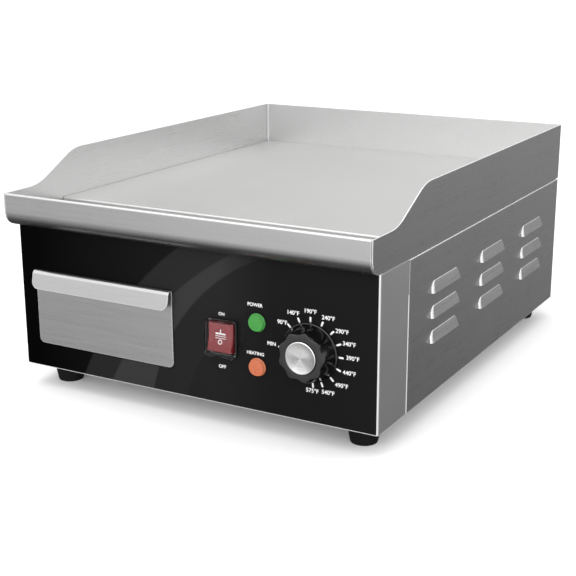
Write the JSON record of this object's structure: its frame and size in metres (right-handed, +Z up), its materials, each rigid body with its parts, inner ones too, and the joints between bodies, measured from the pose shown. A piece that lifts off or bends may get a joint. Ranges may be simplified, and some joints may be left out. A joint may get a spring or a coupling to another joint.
{
  "type": "electric griddle",
  "caption": "Countertop electric griddle: flat heated plate in a stainless splash tray, on a louvred cabinet with dial, rocker switch, indicator lamps and a pull-out grease drawer.",
  "frame": {"origin": "on the floor under the middle of the overall box", "axes": "+Z up, +X to the right as seen by the cook, -Y out of the front panel"},
  "size_m": [0.3652, 0.4764, 0.2096],
  "materials": {
    "stainless": "fine brushed, bright cut edges",
    "ground_plate": "ground steel",
    "zinc_steel": "zinc plated",
    "element_sheath": "heat-darkened steel sheath",
    "black_gloss": "glossy black",
    "black_plastic": "satin black",
    "red_plastic": "translucent red",
    "clear_cover": "clear soft cover",
    "green_lens": "translucent green",
    "orange_lens": "translucent orange",
    "spun_aluminium": "radially spun",
    "rubber": "moulded black rubber",
    "mineral_wool": "fibre blanket",
    "copper": "drawn copper",
    "porcelain": "unglazed porcelain",
    "lead_sleeve": "woven glass sleeve"
  },
  "bodies": {
    "cabinet": {"griddle_plate": "ground_plate", "splash_guard": "stainless", "front_gutter": "stainless", "drain_spout": "stainless", "control_box": "stainless", "control_overlay": "black_gloss", "right_side_panel": "stainless", "left_side_panel": "stainless", "rear_panel": "stainless", "base_plate": "zinc_steel", "drawer_rail_left": "zinc_steel", "drawer_rail_right": "zinc_steel", "heating_element": "element_sheath", "element_clamp_bar_1": "zinc_steel", "element_clamp_bar_2": "zinc_steel", "capillary_and_bulb": "copper", "bulb_clip": "zinc_steel", "heat_shield": "zinc_steel", "insulation_blanket": "mineral_wool", "cord_gland": "black_plastic", "gland_locknut": "zinc_steel", "thermostat_body": "black_plastic", "switch_body": "black_plastic", "switch_cover": "clear_cover", "power_lamp_lens": "green_lens", "heating_lamp_lens": "orange_lens", "power_lamp_barrel": "black_plastic", "heating_lamp_barrel": "black_plastic", "terminal_block": "porcelain", "lead_supply_to_switch": "lead_sleeve", "lead_switch_to_thermostat": "lead_sleeve", "lead_supply_to_element": "lead_sleeve", "foot_front_left": "rubber", "foot_screw_front_left": "zinc_steel", "foot_front_right": "rubber", "foot_screw_front_right": "zinc_steel", "foot_rear_left": "rubber", "foot_screw_rear_left": "zinc_steel", "foot_rear_right": "rubber", "foot_screw_rear_right": "zinc_steel", "tray_nut_left_front": "zinc_steel", "tray_nut_left_rear": "zinc_steel", "tray_nut_right_front": "zinc_steel", "tray_nut_right_rear": "zinc_steel", "rear_screw_upper_left": "zinc_steel", "rear_screw_upper_right": "zinc_steel", "rear_screw_lower_left": "zinc_steel", "rear_screw_lower_right": "zinc_steel", "clamp_nut_1": "zinc_steel", "clamp_nut_2": "zinc_steel", "clamp_nut_3": "zinc_steel", "clamp_nut_4": "zinc_steel"},
    "drawer": {"drawer_front": "stainless", "drawer_tray": "stainless"},
    "knob": {"temperature_knob": "black_gloss", "knob_cap": "spun_aluminium", "thermostat_shaft": "zinc_steel"},
    "rocker": {"switch_rocker": "red_plastic"}
  },
  "joints": [
    {"name": "drawer_slide", "type": "slide", "parent": "cabinet", "child": "drawer", "axis": [0, -1, 0], "range_m": [0, 0.24]},
    {"name": "knob_turn", "type": "hinge", "parent": "cabinet", "child": "knob", "pos_m": [0.1191, -0.22085, 0.0802], "axis": [0, 1, 0], "range_deg": [0, 264]},
    {"name": "rocker_tilt", "type": "hinge", "parent": "cabinet", "child": "rocker", "pos_m": [0.0377, -0.21785, 0.0802], "axis": [1, 0, 0], "range_deg": [0, 14]}
  ]
}
